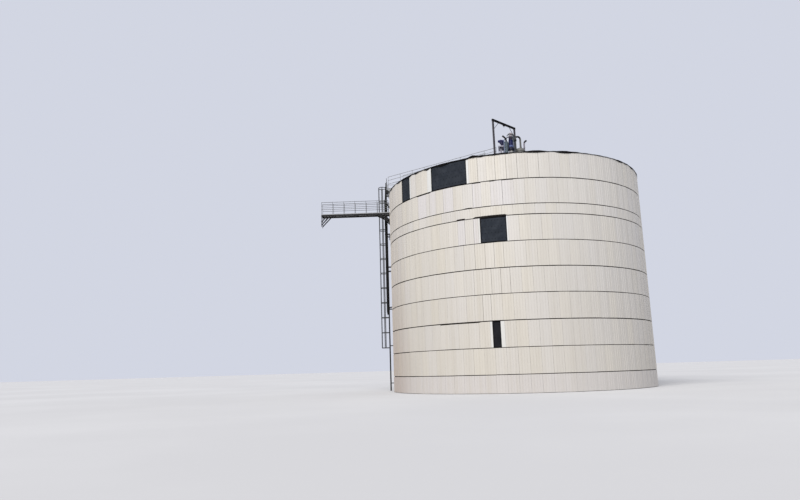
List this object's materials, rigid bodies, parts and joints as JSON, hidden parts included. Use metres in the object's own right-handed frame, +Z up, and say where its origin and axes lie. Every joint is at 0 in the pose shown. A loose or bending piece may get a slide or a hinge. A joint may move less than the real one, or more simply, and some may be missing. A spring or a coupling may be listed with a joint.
{
  "type": "biogas digester",
  "caption": "Upright insulated digester tank with ivory sheet cladding, low cone roof, mixer, lifting gantry, caged ladder and access bridge.",
  "frame": {"origin": "the tank's axis where it meets the ground, on the underside of the floor slab", "axes": "+Z up along the tank's axis; the bridge to the next tank runs along -X; the picture looks roughly along +Y"},
  "size_m": [29.655, 23.15, 25.44],
  "materials": {
    "cladding": "ivory coated sheet, weathered, faint streaks",
    "cladding_new": "newer off-white coated sheet",
    "insulation": "dark slate insulation boards, matte",
    "concrete": "plain concrete",
    "roof_sheet": "black bitumen-coated sheet, matte",
    "dark_steel": "dark painted steel",
    "galvanised": "dull galvanised steel",
    "motor_blue": "dark blue machine paint",
    "grey_paint": "grey-green machine paint",
    "pipe_jacket": "black insulation jacket"
  },
  "bodies": {
    "root": {"tank_floor": "concrete", "tank_wall_1": "insulation", "tank_wall_2": "insulation", "tank_wall_3": "insulation", "tank_wall_4": "insulation", "roof_sector_1": "roof_sheet", "roof_sector_2": "roof_sheet", "roof_sector_3": "roof_sheet", "roof_sector_4": "roof_sheet", "roof_crown": "roof_sheet", "rim_flashing": "roof_sheet", "plinth_band": "cladding_new", "cladding_course_1": "cladding", "cladding_course_2": "cladding", "cladding_course_3": "cladding", "cladding_course_4": "cladding", "cladding_course_5": "cladding", "cladding_course_6": "cladding", "cladding_band": "cladding", "cladding_course_7": "cladding", "cladding_course_8": "cladding", "cladding_course_8_short": "cladding", "bridge_frame": "dark_steel", "bridge_deck": "galvanised", "bridge_railing_near": "galvanised", "bridge_railing_far": "galvanised", "ladder": "galvanised", "grab_rail_near": "galvanised", "grab_rail_far": "galvanised", "ladder_cage_near": "galvanised", "ladder_cage_far": "galvanised", "ladder_cage_back": "galvanised", "rim_platform": "dark_steel", "rim_railing_far": "galvanised", "rim_railing_outer": "galvanised", "rim_railing_inner": "galvanised", "roof_walkway": "galvanised", "walkway_railing_near": "galvanised", "walkway_railing_far": "galvanised", "gantry_post_near": "dark_steel", "gantry_post_far": "dark_steel", "gantry_beam": "dark_steel", "mixer_pedestal": "grey_paint", "mixer_gearbox": "motor_blue", "mixer_motor": "motor_blue", "mixer_rain_hood": "galvanised", "centre_column": "grey_paint", "pump_unit": "motor_blue", "valve_housing": "grey_paint", "gas_loop_pipe": "galvanised", "downcomer_pipe": "pipe_jacket"}
  },
  "joints": []
}
